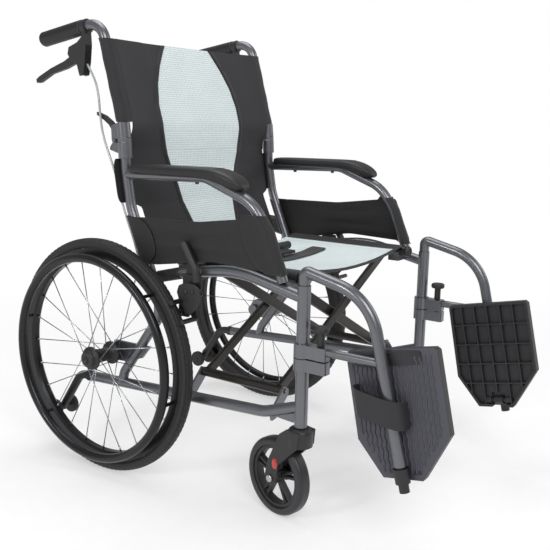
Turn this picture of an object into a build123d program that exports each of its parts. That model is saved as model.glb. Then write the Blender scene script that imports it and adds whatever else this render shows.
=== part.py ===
from build123d import *
import os
from math import atan2, cos, degrees, pi, radians, sin, sqrt, tan

# Folding self-propelled wheelchair with a half-folding back, in millimetres.
# The chair faces -Y, +Z is up, and the user's left is +X. While the pieces are made, y = 0 is the
# rear axle. At the end everything is shifted along Y so that the origin is under the middle.
# Each side is built for the left (+X) and mirrored for the right.

# ---- driving dimensions -------------------------------------------------------------------
frame_plane = 255.0          # middle of the side-frame tubes, from the chair's centre plane
rail_radius = 11.2           # seat-side rail and lower rail
post_radius = 10.8           # rear post under the seat
cane_radius = 11.0           # back canes and push handles
arm_tube_radius = 10.6
upright_radius = 12.5        # front upright, which also holds the caster stem
tube_wall = 1.6
contact_gap = 0.3            # between soft pieces and what they lie against
running_gap = 0.05           # radial clearance of every pin in its bore

wheel_radius = 254.0         # 20-inch rear wheel over the tyre
wheel_offset = 46.0          # wheel's middle plane outboard of the frame plane
tyre_width = 28.0
tyre_depth = 21.0            # tread to rim seat
rim_depth = 21.0
rim_width = 22.0
rim_wall = 2.2               # open channel under the tyre
spoke_count = 24
spoke_radius = 1.1
flange_radius = 25.0
flange_spread = 28.5         # each hub flange from the wheel's middle plane
hub_face = 5.0               # hub's inner end face inboard of its inner flange
axle_radius = 6.0
handrim_radius = 226.0       # over the tube
handrim_tube = 9.5
handrim_offset = 36.0        # handrim's plane outboard of the wheel's middle plane
handrim_wall = 1.6
handrim_tabs = 6

upright_y = -485.0           # front upright and caster stem
upright_bottom = 196.0
upright_top = 466.0
caster_radius = 78.0
caster_width = 28.0
caster_trail = 58.0
caster_turn = 13.0           # degrees that the casters stand turned inwards
fork_gap = 34.0
fork_plate = 6.0
stem_radius = 6.0
caster_axle_radius = 4.0

seat_rail_height = 468.0     # axis of the rails that carry the seat
seat_rail_inset = 41.0       # inboard of the frame plane
seat_rail_radius = 11.0
seat_front = -462.0
seat_back = -150.0
seat_sag = 23.0
sling_thickness = 3.0
brace_pivot_height = 240.0
brace_front = -399.0         # middle of the front pair of bars
brace_rear = -232.0
brace_bar = (9.0, 22.0)      # thickness along Y, width
brace_layer = 6.5            # each bar from the middle of its pair
brace_tube_radius = 9.5
brace_pin_radius = 5.0

hinge_height = 711.0         # fold of the back
hinge_behind_cane = 22.0
hinge_pin_radius = 4.0
back_top = 915.0             # upper edge of the back sling
handle_rise = 950.5          # where the cane's line meets the push handle's line
grip_radius = 16.0
grip_length = 129.0

arm_pad_width = 56.0
arm_pad_top = 666.0

post_lean = 12.0             # degrees that the footplate post leans
plate_hinge_height = 158.0
plate_hinge_inset = 23.0     # inboard of the post
plate_skin = 8.0
plate_ribs = 8.0
plate_pin_radius = 5.0

axle_height = wheel_radius
wheel_plane = frame_plane + wheel_offset
handrim_plane = wheel_plane + handrim_offset
pivot_x = frame_plane - seat_rail_inset
rim_seat = wheel_radius - tyre_depth
rim_inner = rim_seat - rim_depth

# ---- routes of the frame tubes, as (y, z) in the frame plane --------------------------------
top_rail_route = [(-102, 430), (-210, 457), (-335, 474), (upright_y, 442)]
rear_post_route = [(-126.5, 436), (-126.5, 349), (-24, 212), (-16, 188)]
lower_rail_route = [(78, 180), (-400, 206), (upright_y, 235)]
lower_cane_route = [(-108, 436), (-50, 575), (-37, 650), (-33.8, hinge_height - 5)]
upper_cane_route = [(-33.2, hinge_height + 5), (-29.5, 748), (27.7, handle_rise), (203, handle_rise - 28.5)]
arm_tube_route = [(-38, 642), (-252, 648), (-365, 606), (-400, 560), (-439, 464)]
hanger_route = [(upright_y, upright_top + 2), (upright_y, 493), (-620.6, 460.5), (-692.5, 173)]
tipper_route = [(40, 182.1), (118, 177.8), (183, 84)]
tipper_axle = (182, 86)
tipper_wheel_radius = 21.0
tipper_wheel_spread = 23.0

brake_lever_pivot = (-245, 425)
brake_shoe_pivot = (-221, 419)
hinge_y = lower_cane_route[-1][0] + hinge_behind_cane
hinge_axis = (hinge_y, hinge_height)
handle_lever_pivot = (100, 882)
release_pivot = (-7, 734)
latch_y = -524.0
collar_height = (332.0, 358.0)
receiver_height = (307.0, 330.0)
knob_lift = 26.0


# ---- helpers ------------------------------------------------------------------------------
def side_plane(x):
    """A plane at x whose own x and y run along the chair's Y and Z."""
    return Plane(origin=(x, 0, 0), x_dir=(0, 1, 0), z_dir=(1, 0, 0))


def in_plane(x, route):
    return [Vector(x, y, z) for y, z in route]


def flat(x_low, x_high, outline, corner=0.0):
    """A plate between two x values with its outline given as (y, z)."""
    face = Polygon(*outline, align=None)
    if corner:
        face = fillet(face.vertices(), corner)
    return extrude(side_plane(x_low) * face, amount=x_high - x_low, dir=(1, 0, 0))


def cross_pin(x_low, x_high, centre, radius):
    """A cylinder along X through (y, z)."""
    return rod((x_low, *centre), (x_high, *centre), radius)


def rod(start, end, radius):
    start, end = Vector(*start), Vector(*end)
    run = end - start
    return extrude(Plane(origin=start, z_dir=run) * Circle(radius), amount=run.length)


def bend_radii(points, wanted):
    """The wanted bends, limited to what the runs beside each corner leave room for."""
    radii = []
    for before, here, after, radius in zip(points, points[1:], points[2:], wanted):
        turn = radians((here - before).get_angle(after - here))
        room = 0.45 * min((here - before).length, (after - here).length) / tan(turn / 2)
        radii.append(min(radius, room))
    return radii


def bent_path(points, wanted):
    if len(points) == 2:
        return Line(points[0], points[1])
    return FilletPolyline(*points, radius=bend_radii(points, wanted))


def swept(path, radius):
    return sweep(Plane(origin=path @ 0, z_dir=path % 0) * Circle(radius), path=path)


def bent_rod(points, wanted, radius):
    return swept(bent_path(points, wanted), radius)


def turned(profile, centre):
    """A profile of (x, radius) points turned about the X axis through (y, z)."""
    return Pos(0, *centre) * revolve(Plane.XZ * profile, axis=Axis.X)


def joined(shapes):
    whole = shapes[0]
    for shape in shapes[1:]:
        whole = whole + shape
    return whole


def on_circle(x, radius, angle):
    """A point at an angle about the rear axle."""
    return Vector(x, radius * cos(angle), axle_height + radius * sin(angle))


# ---- side frame -----------------------------------------------------------------------------
def frame_tubes(shrink):
    tubes = [
        (top_rail_route, [180, 260], rail_radius),
        (rear_post_route, [60, 12], post_radius),
        (lower_rail_route, [90], rail_radius),
        (lower_cane_route, [120, 120], cane_radius),
        (arm_tube_route, [60, 90, 90], arm_tube_radius),
        ([(upright_y, upright_bottom), (upright_y, upright_top)], [], upright_radius),
    ]
    return [bent_rod(in_plane(frame_plane, route), bends, radius - shrink) for route, bends,
            radius in tubes]


def saddle(y_low, y_high):
    """A cup on the rail that the seat rail drops into."""
    block = Box(frame_plane - 2 - pivot_x + 13, y_high - y_low, 20, align=(Align.MIN, Align.MIN, Align.MAX))
    block = Pos(pivot_x - 13, y_low, seat_rail_height - 2) * block
    rail = rod((pivot_x, y_low - 1, seat_rail_height), (pivot_x, y_high + 1, seat_rail_height),
               seat_rail_radius + contact_gap)
    return block - rail


def brace_bracket(y):
    """A plate that carries one end of the lower brace pin, inboard of the lower rail."""
    rail_z = 200.0
    reach = Plane(origin=(0, y, 0), x_dir=(1, 0, 0), z_dir=(0, -1, 0))
    outline = Polygon((pivot_x - 11, brace_pivot_height + 2), (pivot_x + 4, brace_pivot_height + 11),
                      (frame_plane + 6, rail_z + 8), (frame_plane + 2, rail_z - 8),
                      (frame_plane - 12, rail_z - 6), (pivot_x - 11, brace_pivot_height - 8), align=None)
    return extrude(reach * outline, amount=2.5, both=True)


def side_frame():
    pin_front = brace_front - brace_layer - 13.5
    pin_rear = brace_rear + brace_layer + 13.5
    solid = joined(frame_tubes(0.0))
    solid += flat(frame_plane - 3, frame_plane + 3,
                  [(-102, axle_height + 27), (4, axle_height + 25), (18, axle_height), (6,
                                                                                        axle_height - 20),
                   (-30, axle_height - 18), (-78, axle_height - 2)])
    solid += flat(frame_plane - 2, frame_plane + 2,
                  [(upright_y + 4, 232), (upright_y + 4, 200), (upright_y + 20, 200), (-410, 204), (-420,
                                                                                                    212)])
    solid += saddle(-446, -420) + saddle(-200, -180)
    solid += brace_bracket(pin_front) + brace_bracket(pin_rear)
    receiver = Pos(frame_plane, upright_y, receiver_height[0]) * Cylinder(
        17, receiver_height[1] - receiver_height[0], align=(Align.CENTER, Align.CENTER, Align.MIN))
    tongue = Pos(frame_plane, upright_y, receiver_height[0]) * Box(
        22, 55, receiver_height[1] - receiver_height[0], align=(Align.CENTER, Align.MAX, Align.MIN))
    solid += receiver + fillet(tongue.edges().filter_by(Axis.Z), 5)
    bores = joined(frame_tubes(tube_wall))
    solid -= bores
    solid -= rod((frame_plane, upright_y, upright_top - 36), (frame_plane, upright_y, upright_top + 1),
                 hanger_pin_radius + running_gap)
    stem_bush = rod((frame_plane, upright_y, upright_bottom), (frame_plane, upright_y, upright_bottom + 46),
                    upright_radius - 0.5)
    solid += stem_bush
    solid -= rod((frame_plane, upright_y, upright_bottom - 1), (frame_plane, upright_y,
                                                                upright_bottom + 42),
                 stem_radius + running_gap)
    boss_end = wheel_plane - flange_spread - hub_face - contact_gap
    solid += cross_pin(frame_plane - 11, boss_end, (0, axle_height), 14)
    solid += cross_pin(frame_plane, wheel_plane + 29, (0, axle_height), axle_radius)
    solid += rod((pivot_x, pin_front - 5, brace_pivot_height), (pivot_x, pin_rear + 5, brace_pivot_height),
                 brace_pin_radius)
    return solid


def arm_pad():
    top, low = arm_pad_top, arm_pad_top - 20
    outline = [(-68, low), (-68, top - 2), (-262, top + 2), (-318, top - 4), (-343, top - 16), (-347,
                                                                                                top - 30),
               (-332, top - 38), (-300, top - 31), (-256, low - 1)]
    half = arm_pad_width / 2
    pad = flat(frame_plane - half, frame_plane + half, outline, 4.0)
    tube = bent_rod(in_plane(frame_plane, arm_tube_route), [60, 90, 90], arm_tube_radius)
    return pad - tube


def skirt_guard():
    outline = [(-106, 466), (-54, 552), (-88, 558), (-240, 561), (-388, 581), (-412, 583), (-447, 488),
               (-424, 482),
               (-278, 486), (-127, 462)]
    inner = frame_plane + upright_radius
    return flat(inner, inner + 3.5, outline, 4.0)


def brake_body():
    inner = frame_plane + upright_radius + 1
    plate = flat(inner, inner + 4, [(-208, 456), (-246, 454), (-258, 418), (-240, 404), (-222, 368),
                                    (-197, 368),
                                    (-197, 390), (-208, 414)], 3.0)
    clamp = flat(frame_plane - 15, inner, [(-240, 443), (-214, 446), (-214, 472), (-240, 470)], 3.0)
    clamp += flat(frame_plane - 15, frame_plane + upright_radius - contact_gap,
                  [(-240, 450), (-214, 450), (-214, 479), (-240, 479)], 3.0)
    rail = bent_rod(in_plane(frame_plane, top_rail_route), [180, 260], rail_radius)
    lever_pin = cross_pin(inner, inner + 13, brake_lever_pivot, 4)
    shoe_pin = cross_pin(inner, inner + 13, brake_shoe_pivot, 4)
    anchor_y, anchor_z = cable_route[-1][1:]
    anchor = rod((inner + 9, anchor_y, anchor_z), (inner + 9, anchor_y - 18, anchor_z), 5)
    anchor += cross_pin(inner, inner + 9, (anchor_y - 9, anchor_z), 4)
    return plate + (clamp - rail) + lever_pin + shoe_pin + anchor


def brake_lever():
    inner = frame_plane + upright_radius + 5.4
    y, z = brake_lever_pivot
    arm = flat(inner, inner + 4, [(y + 9, z - 9), (y + 9, z + 6), (y + 1, z + 34), (y - 12, z + 34),
                                  (y - 14, z + 10),
                                  (y - 9, z - 9)], 3.0)
    middle = inner + 7
    points = [Vector(middle, y - 5, z + 20), Vector(middle, y - 4, z + 42), Vector(middle, y + 27, z + 92)]
    handle = bent_rod(points, [30], 8)
    handle += Pos(middle, y + 27, z + 92) * Sphere(8)
    lever = arm + handle
    lever -= cross_pin(inner - 20, inner, (y - 5, z + 30), 60)
    return lever - cross_pin(inner - 1, inner + 20, brake_lever_pivot, 4 + running_gap)


def brake_shoe():
    """Two bars across the tread on one carrier, 3 and 10.6 mm clear of the tyre when released."""
    inner = frame_plane + upright_radius + 5.4
    bar_radius = 5.0
    y, z = brake_shoe_pivot
    first = (wheel_radius + 3.0 + bar_radius, radians(145.2))
    second = (wheel_radius + 10.6 + bar_radius, radians(154.7))
    centres = [(r * cos(a), axle_height + r * sin(a)) for r, a in (first, second)]
    carrier = flat(inner, inner + 3.6, [(y + 8, z - 6), (y + 8, z + 8), (y - 8, z + 8),
                                        (centres[1][0] - 6, centres[1][1]),
                                        (centres[1][0], centres[1][1] - 6), (centres[1][0] + 7,
                                                                             centres[1][1]),
                                        (centres[0][0] + 7, centres[0][1] - 3)])
    shoe = carrier
    for centre in centres:
        shoe += cross_pin(inner, wheel_plane + tyre_width / 2, centre, bar_radius)
    return shoe - cross_pin(inner - 1, inner + 20, brake_shoe_pivot, 4 + running_gap)


def tipper_tube():
    tube = bent_rod(in_plane(frame_plane, tipper_route), [35], rail_radius - tube_wall - 0.15)
    plug = rod((frame_plane, 79, 179.9), (frame_plane, 90, 179.3), rail_radius + 1)
    reach = tipper_wheel_spread + 7.5
    axle = cross_pin(frame_plane - reach, frame_plane + reach, tipper_axle, 3.5)
    return tube + plug + axle


def tip_wheels():
    wheels = None
    for side in (-1, 1):
        middle = frame_plane + side * tipper_wheel_spread
        wheel = cross_pin(middle - 6, middle + 6, tipper_axle, tipper_wheel_radius)
        wheel = fillet(wheel.edges().filter_by(GeomType.CIRCLE), 3)
        wheel -= cross_pin(middle - 8, middle + 8, tipper_axle, 3.5 + running_gap)
        wheels = wheel if wheels is None else wheels + wheel
    return wheels


# ---- folding back -----------------------------------------------------------------------------
sleeve_radius = 14.5
lug_half = 4.0
ear_inner = lug_half + contact_gap
ear_outer = 9.0


def cane_at(route, z):
    """The y of a cane's straight run at height z, from its two points around z."""
    for (y0, z0), (y1, z1) in zip(route, route[1:]):
        if z0 <= z <= z1:
            return y0 + (y1 - y0) * (z - z0) / (z1 - z0)
    return route[-1][0]


def back_hinge():
    """Sleeve on the fixed cane with a lug and the hinge pin at its rear."""
    y, z = hinge_axis
    low, high = hinge_height - 36, hinge_height - 4
    sleeve = rod((frame_plane, cane_at(lower_cane_route, low), low), (frame_plane,
                                                                      cane_at(lower_cane_route, high),
                                                                      high),
                 sleeve_radius)
    lug = flat(frame_plane - lug_half, frame_plane + lug_half,
               [(y - 20, z - 5), (y - 20, z - 30), (y + 10, z - 22), (y + 17, z - 20), (y + 17, z - 14),
                (y + 7, z - 2),
                (y + 6, z + 4), (y, z + 7), (y - 7, z + 3), (y - 7.5, z - 4)])
    pin = cross_pin(frame_plane - ear_outer - 2, frame_plane + ear_outer + 2, hinge_axis, hinge_pin_radius)
    cane = bent_rod(in_plane(frame_plane, lower_cane_route), [120, 120], cane_radius)
    return (sleeve + lug + pin) - cane


def push_handle_tube():
    """Upper cane and push handle in one tube, with the hinge's upper sleeve and ears."""
    y, z = hinge_axis
    points = in_plane(frame_plane, upper_cane_route)
    tube = bent_rod(points, [60, 40], cane_radius)
    low, high = hinge_height + 5, hinge_height + 36
    sleeve = rod((frame_plane, cane_at(upper_cane_route, low), low), (frame_plane,
                                                                      cane_at(upper_cane_route, high),
                                                                      high),
                 sleeve_radius)
    ears = None
    for x_low in (frame_plane - ear_outer, frame_plane + ear_inner):
        ear = flat(x_low, x_low + ear_outer - ear_inner,
                   [(y - 22, z + 12), (y - 7, z + 3), (y - 4, z - 5), (y + 4, z - 5), (y + 7, z + 2),
                    (y + 8, z + 30),
                    (y - 4, z + 34), (y - 22, z + 34)])
        ears = ear if ears is None else ears + ear
    release_pin = cross_pin(frame_plane - ear_outer, frame_plane + ear_outer, release_pivot, 2.5)
    solid = tube + sleeve + ears + release_pin
    solid -= bent_rod(points, [60, 40], cane_radius - tube_wall)
    return solid - cross_pin(frame_plane - 20, frame_plane + 20, hinge_axis, hinge_pin_radius + running_gap)


def release_lever():
    """Spring-loaded lever between the hinge's ears that frees the back."""
    y, z = release_pivot
    half = ear_inner - contact_gap - 0.3
    lever = flat(frame_plane - half, frame_plane + half,
                 [(y - 3, z - 5), (y + 5, z - 4), (y + 16, z + 9), (y + 30, z + 18), (y + 50, z + 28),
                  (y + 51, z + 35),
                  (y + 26, z + 27), (y + 8, z + 16), (y - 3, z + 6)], 1.5)
    return lever - cross_pin(frame_plane - 20, frame_plane + 20, release_pivot, 2.5 + running_gap)


def handle_line(distance):
    """A point on the push handle's axis, measured from the handle's corner."""
    start, end = in_plane(frame_plane, upper_cane_route)[-2:]
    return start + (end - start).normalized() * distance


grip_start = 55.0


def grip():
    body = rod(tuple(handle_line(grip_start)), tuple(handle_line(grip_start + grip_length)), grip_radius)
    body = fillet(body.edges().filter_by(GeomType.CIRCLE), 4)
    tube = bent_rod(in_plane(frame_plane, upper_cane_route), [60, 40], cane_radius)
    return body - tube


def handle_brake_body():
    """Housing of the attendant's brake, clamped to the handle in front of the grip."""
    clamp = rod(tuple(handle_line(41)), tuple(handle_line(grip_start - 0.5)), cane_radius + 4)
    body = flat(frame_plane - 9, frame_plane + 9,
                [(69, 938), (80, 936), (80, 922), (94, 911), (120, 902), (124, 888), (112, 872), (96,
                                                                                                  866),
                                                                                                  (88,
                                                                                                   842),
                                                                                                   (77,
                                                                                                    844),
                 (71, 872), (67, 905)], 2.0)
    slot = flat(frame_plane - 5, frame_plane + 5,
                [(82, 840), (84, 901), (104, 901), (140, 890), (140, 840)])
    pin = cross_pin(frame_plane - 9, frame_plane + 9, handle_lever_pivot, 3)
    tube = bent_rod(in_plane(frame_plane, upper_cane_route), [60, 40], cane_radius)
    return (clamp + body - tube) - slot + pin


def handle_brake_lever():
    y, z = handle_lever_pivot
    lever = flat(frame_plane - 4.6, frame_plane + 4.6,
                 [(y - 9, z - 7), (y - 6, z + 9), (y + 6, z + 9), (y + 40, z - 8), (y + 84, z - 22),
                  (y + 124, z - 39),
                  (y + 134, z - 45), (y + 132, z - 53), (y + 122, z - 52), (y + 82, z - 34), (y + 36,
                                                                                              z - 24),
                  (y + 8, z - 14)], 2.0)
    return lever - cross_pin(frame_plane - 20, frame_plane + 20, handle_lever_pivot, 3 + running_gap)


cable_radius = 2.5
cable_route = [(257, 70.5, 866), (259, 47, 838), (262, 33, 803), (263, 29, 762), (263.4, 22, 722), (263.8,
                                                                                                    4, 682),
               (264, -16, 640), (263, -27, 596), (262, -44, 550), (263, -66, 504), (265, -84, 458), (268,
                                                                                                     -101,
                                                                                                     418),
               (273, -136, 391), (277, -168, 381), (277.5, -195, 379)]
cable_bends = [60, 90, 140, 160, 160, 200, 150, 200, 220, 200, 120, 60, 90]


def brake_cable():
    points = [Vector(*point) for point in cable_route]
    return bent_rod(points, cable_bends, cable_radius)


# ---- rear wheel -------------------------------------------------------------------------------
wheel_centre = (0, axle_height)


def tyre():
    middle = rim_seat + tyre_depth - 11
    face = Pos(wheel_plane, middle) * Ellipse(tyre_width / 2, 11)
    face -= Pos(wheel_plane, rim_seat - 10) * Rectangle(tyre_width + 10, 20)
    return turned(face, wheel_centre)


def wheel_rim():
    """Open channel that the tyre sits on."""
    half, floor = rim_width / 2, rim_inner + rim_wall
    outline = Polygon((wheel_plane - half, rim_seat), (wheel_plane - half + rim_wall, rim_seat),
                      (wheel_plane - half + rim_wall, floor + 4), (wheel_plane - 5, floor),
                      (wheel_plane + 5, floor), (wheel_plane + half - rim_wall, floor + 4),
                      (wheel_plane + half - rim_wall, rim_seat), (wheel_plane + half, rim_seat),
                      (wheel_plane + half, rim_inner + 4), (wheel_plane + 6, rim_inner),
                      (wheel_plane - 6, rim_inner), (wheel_plane - half, rim_inner + 4), align=None)
    return turned(outline, wheel_centre)


def spokes():
    """Wires from both flanges, each crossing its neighbours on the way to the rim."""
    lace = radians(62)
    wires = []
    for index in range(spoke_count):
        angle = 2 * pi * index / spoke_count
        side = 1 if index % 2 else -1
        lean = 1 if index % 4 < 2 else -1
        foot = on_circle(wheel_plane + side * flange_spread + lean * 2.2, flange_radius - 5,
                         angle + lean * lace)
        head = on_circle(wheel_plane, rim_inner + rim_wall / 2, angle)
        wires.append(rod(tuple(foot), tuple(head), spoke_radius))
    return wires


def spoked_hub():
    inner, outer = wheel_plane - flange_spread, wheel_plane + flange_spread
    flange_half = 3.5
    bore = axle_radius + running_gap
    outline = Polygon((inner - hub_face, bore), (inner - hub_face, 14), (inner - flange_half, 15),
                      (inner - flange_half, flange_radius), (inner + flange_half, flange_radius),
                      (inner + flange_half, 17), (outer - flange_half, 17),
                      (outer - flange_half, flange_radius), (outer + flange_half, flange_radius),
                      (outer + flange_half, 18), (outer + 13, 17), (outer + 15, 14), (outer + 15, 0),
                      (wheel_plane + 30, 0), (wheel_plane + 30, bore), align=None)
    return turned(outline, wheel_centre).fuse(*spokes())


def handrim():
    """Round tube on short stand-off tabs, which end in its wall."""
    middle = handrim_radius - handrim_tube
    section = Circle(handrim_tube) - Circle(handrim_tube - handrim_wall)
    ring = turned(Pos(handrim_plane, middle) * section, wheel_centre)
    start, end = wheel_plane + rim_width / 2, handrim_plane - 6
    tabs = []
    for index in range(handrim_tabs):
        angle = 2 * pi * (index + 0.25) / handrim_tabs
        tabs.append(rod(tuple(on_circle(start, middle + 4, angle)), tuple(on_circle(end, middle + 4,
                                                                                    angle)), 3.6))
    return ring.fuse(*tabs)


# ---- caster -----------------------------------------------------------------------------------
def on_caster(shape):
    """Put a piece made about the stem's foot in its place, turned inwards."""
    return Pos(frame_plane, upright_y, 0) * Rot(0, 0, caster_turn) * shape


def caster_fork():
    crown_top = upright_bottom - 1.5
    crown = Cylinder(24, 36, align=(Align.CENTER, Align.CENTER, Align.MAX))
    crown = fillet(crown.edges().group_by(Axis.Z)[-1], 10)
    fork = Pos(0, 0, crown_top) * crown
    half = fork_gap / 2
    leg = [(-17, crown_top - 4), (15, crown_top - 4), (34, crown_top - 18), (caster_trail + 8,
                                                                             caster_radius + 34),
           (caster_trail + 15, caster_radius + 4), (caster_trail + 10, caster_radius - 11),
           (caster_trail - 4, caster_radius - 15), (caster_trail - 15, caster_radius - 5),
           (caster_trail - 22, caster_radius + 34), (-14, crown_top - 34)]
    for low in (-half - fork_plate, half):
        fork += flat(low, low + fork_plate, leg)
    centre = (caster_trail, caster_radius)
    fork -= cross_pin(-half, half, centre, caster_radius + 5)
    fork += cross_pin(-half - fork_plate, half + fork_plate, centre, caster_axle_radius)
    fork += Pos(0, 0, crown_top - 1) * Cylinder(stem_radius, 42, align=(Align.CENTER, Align.CENTER,
                                                                        Align.MIN))
    return on_caster(fork)


def caster_tyre():
    seat = caster_radius - 16
    half = caster_width / 2
    face = Pos(0, caster_radius - 8) * Rectangle(caster_width, 16)
    face = fillet(face.vertices().group_by(Axis.Y)[-1], 8)
    face = fillet(face.vertices().group_by(Axis.Y)[0], 3)
    ring = revolve(Plane.XZ * face, axis=Axis.X)
    ring -= cross_pin(-half - 1, half + 1, (0, 0), seat)
    return on_caster(Pos(0, caster_trail, caster_radius) * ring)


def caster_wheel():
    """Moulded centre with five pairs of spokes."""
    seat = caster_radius - 16
    wheel = cross_pin(-10, 10, (0, 0), seat) - cross_pin(-11, 11, (0, 0), seat - 7)
    wheel += cross_pin(-15, 15, (0, 0), 13)
    for index in range(5):
        for spread in (-7, 7):
            angle = 360 * index / 5
            spoke = Pos(0, 0, seat / 2 - 1) * Box(12, 5, seat - 8)
            wheel += Rot(angle + spread, 0, 0) * spoke
    wheel -= cross_pin(-16, 16, (0, 0), caster_axle_radius + running_gap)
    return on_caster(Pos(0, caster_trail, caster_radius) * wheel)


# ---- swing-away leg rest ------------------------------------------------------------------------
hanger_pin_radius = 9.4
hanger_tube_radius = 11.0
post_tube_radius = 9.2
post_direction = Vector(0, *hanger_route[-1]) - Vector(0, *hanger_route[-2])
post_direction = post_direction.normalized()


def on_post(height):
    """The point of the footplate post's axis at a height."""
    y, z = hanger_route[-1]
    return Vector(frame_plane, y, z) + post_direction * ((z - height) / -post_direction.Z)


def hanger_tube():
    tube = bent_rod(in_plane(frame_plane, hanger_route), [14, 135], hanger_tube_radius)
    pin = rod((frame_plane, upright_y, upright_top - 34), (frame_plane, upright_y, upright_top + 3),
              hanger_pin_radius)
    low, high = collar_height
    centre = Align.CENTER
    collar = Pos(frame_plane, upright_y, low) * Cylinder(17, high - low, align=(centre, centre, Align.MIN))
    block = Pos(frame_plane, upright_y - 8, low + 1) * Box(22, 46, high - low - 2, align=(centre,
                                                                                          Align.MAX,
                                                                                          Align.MIN))
    block = fillet(block.edges().filter_by(Axis.Z), 4)
    cross_height = 349.0
    strut_end = on_post(cross_height)
    strut = rod((frame_plane, upright_y - 20, cross_height), (frame_plane, strut_end.Y, cross_height), 8)
    solid = tube + pin + collar + block + strut
    solid -= Pos(frame_plane, upright_y, low - 1) * Cylinder(
        upright_radius + running_gap, high - low + 2, align=(centre, centre, Align.MIN))
    solid -= rod((frame_plane, latch_y, low - 1), (frame_plane, latch_y, high + 1), 4 + running_gap)
    return solid - rod(tuple(on_post(173) + post_direction), tuple(on_post(250)),
                       post_tube_radius + running_gap)


def latch_knob():
    """Pull knob whose pin ends just above the receiver on the upright."""
    base = collar_height[1] + 0.3
    knob = rod((frame_plane, latch_y, receiver_height[1] + 1), (frame_plane, latch_y, base), 4)
    knob += rod((frame_plane, latch_y, base), (frame_plane, latch_y, base + knob_lift), 7)
    cap = rod((frame_plane, latch_y, base + knob_lift), (frame_plane, latch_y, base + knob_lift + 11), 15)
    return knob + fillet(cap.edges().filter_by(GeomType.CIRCLE), 4)


def plate_frame():
    """Axes of the flipped-up footplate: along the hinge, up the plate, and inboard."""
    lean = radians(post_lean)
    origin = on_post(plate_hinge_height) - Vector(plate_hinge_inset, 0, 0)
    return Plane(origin=origin, x_dir=(0, -cos(lean), sin(lean)), z_dir=(-1, 0, 0))


def along_hinge(start, end, radius):
    frame = plate_frame()
    first = frame.origin + frame.x_dir * start
    last = frame.origin + frame.x_dir * end
    return rod(tuple(first), tuple(last), radius)


def footplate_post():
    post = rod(tuple(on_post(244)), tuple(on_post(128)), post_tube_radius)
    post += rod(tuple(on_post(plate_hinge_height + 12)), tuple(on_post(plate_hinge_height - 14)), 13.5)
    frame = plate_frame()
    arm = Box(18, 20, plate_hinge_inset, align=(Align.CENTER, Align.CENTER, Align.MAX))
    post += frame.location * arm
    post += along_hinge(-9, 9, 9)
    return post + along_hinge(-32, 32, plate_pin_radius)


plate_outline = [(-87, 56), (-46, -13), (32, -15), (94, 66), (92, 214), (86, 219), (-80, 219), (-86, 213)]
plate_outboard = -6.0


def footplate():
    frame = plate_frame()
    face = fillet(Polygon(*plate_outline, align=None).vertices(), 3)
    inner_face = offset(Polygon(*plate_outline, align=None), -6)
    skin_top = plate_outboard + plate_skin
    plate = extrude(Pos(0, 0, plate_outboard) * face, amount=plate_skin + plate_ribs, dir=(0, 0, 1))
    pocket = extrude(Pos(0, 0, skin_top) * inner_face, amount=plate_ribs + 1, dir=(0, 0, 1))
    walls = None
    for across in (-58, -29, 0, 29, 58):
        wall = Pos(across, 102, skin_top) * Box(2.6, 300, plate_ribs, align=(Align.CENTER, Align.CENTER,
                                                                             Align.MIN))
        walls = wall if walls is None else walls + wall
    for up in (40, 84, 128, 172):
        walls += Pos(0, up, skin_top) * Box(220, 2.6, plate_ribs, align=(Align.CENTER, Align.CENTER,
                                                                         Align.MIN))
    plate = plate - (pocket - walls)
    for start in (-31, 16.5):
        boss = Rot(0, 90, 0) * Cylinder(9, 14.5, align=(Align.CENTER, Align.CENTER, Align.MIN))
        plate += Pos(start, 0, 0) * boss
    plate -= Pos(0, -1, 0) * Box(31, 38, 60)
    plate -= Rot(0, 90, 0) * Cylinder(plate_pin_radius + running_gap, 66)
    return frame.location * plate


def heel_strap():
    """Webbing loop from the plate's rear edge, round outboard of the hanger tube."""
    frame = plate_frame()
    outer = -(plate_hinge_inset + hanger_tube_radius + 6)
    face_side = plate_outboard - contact_gap - 1.5
    path = Polyline((-70, face_side), (-70, outer + 10), (-60, outer),
                    (10, outer), (24, outer + 10), (24, face_side))
    band = offset(path, 1.0, side=Side.BOTH)
    loop = extrude(Plane.XZ * make_face(band.edges()), amount=25, both=True)
    return frame.location * (Pos(0, 120, 0) * loop)


# ---- cross brace and slings ---------------------------------------------------------------------
brace_rise = (seat_rail_height - brace_pivot_height) / 2
cross_height = brace_pivot_height + brace_rise
brace_angle = degrees(atan2(brace_rise, pivot_x))


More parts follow.
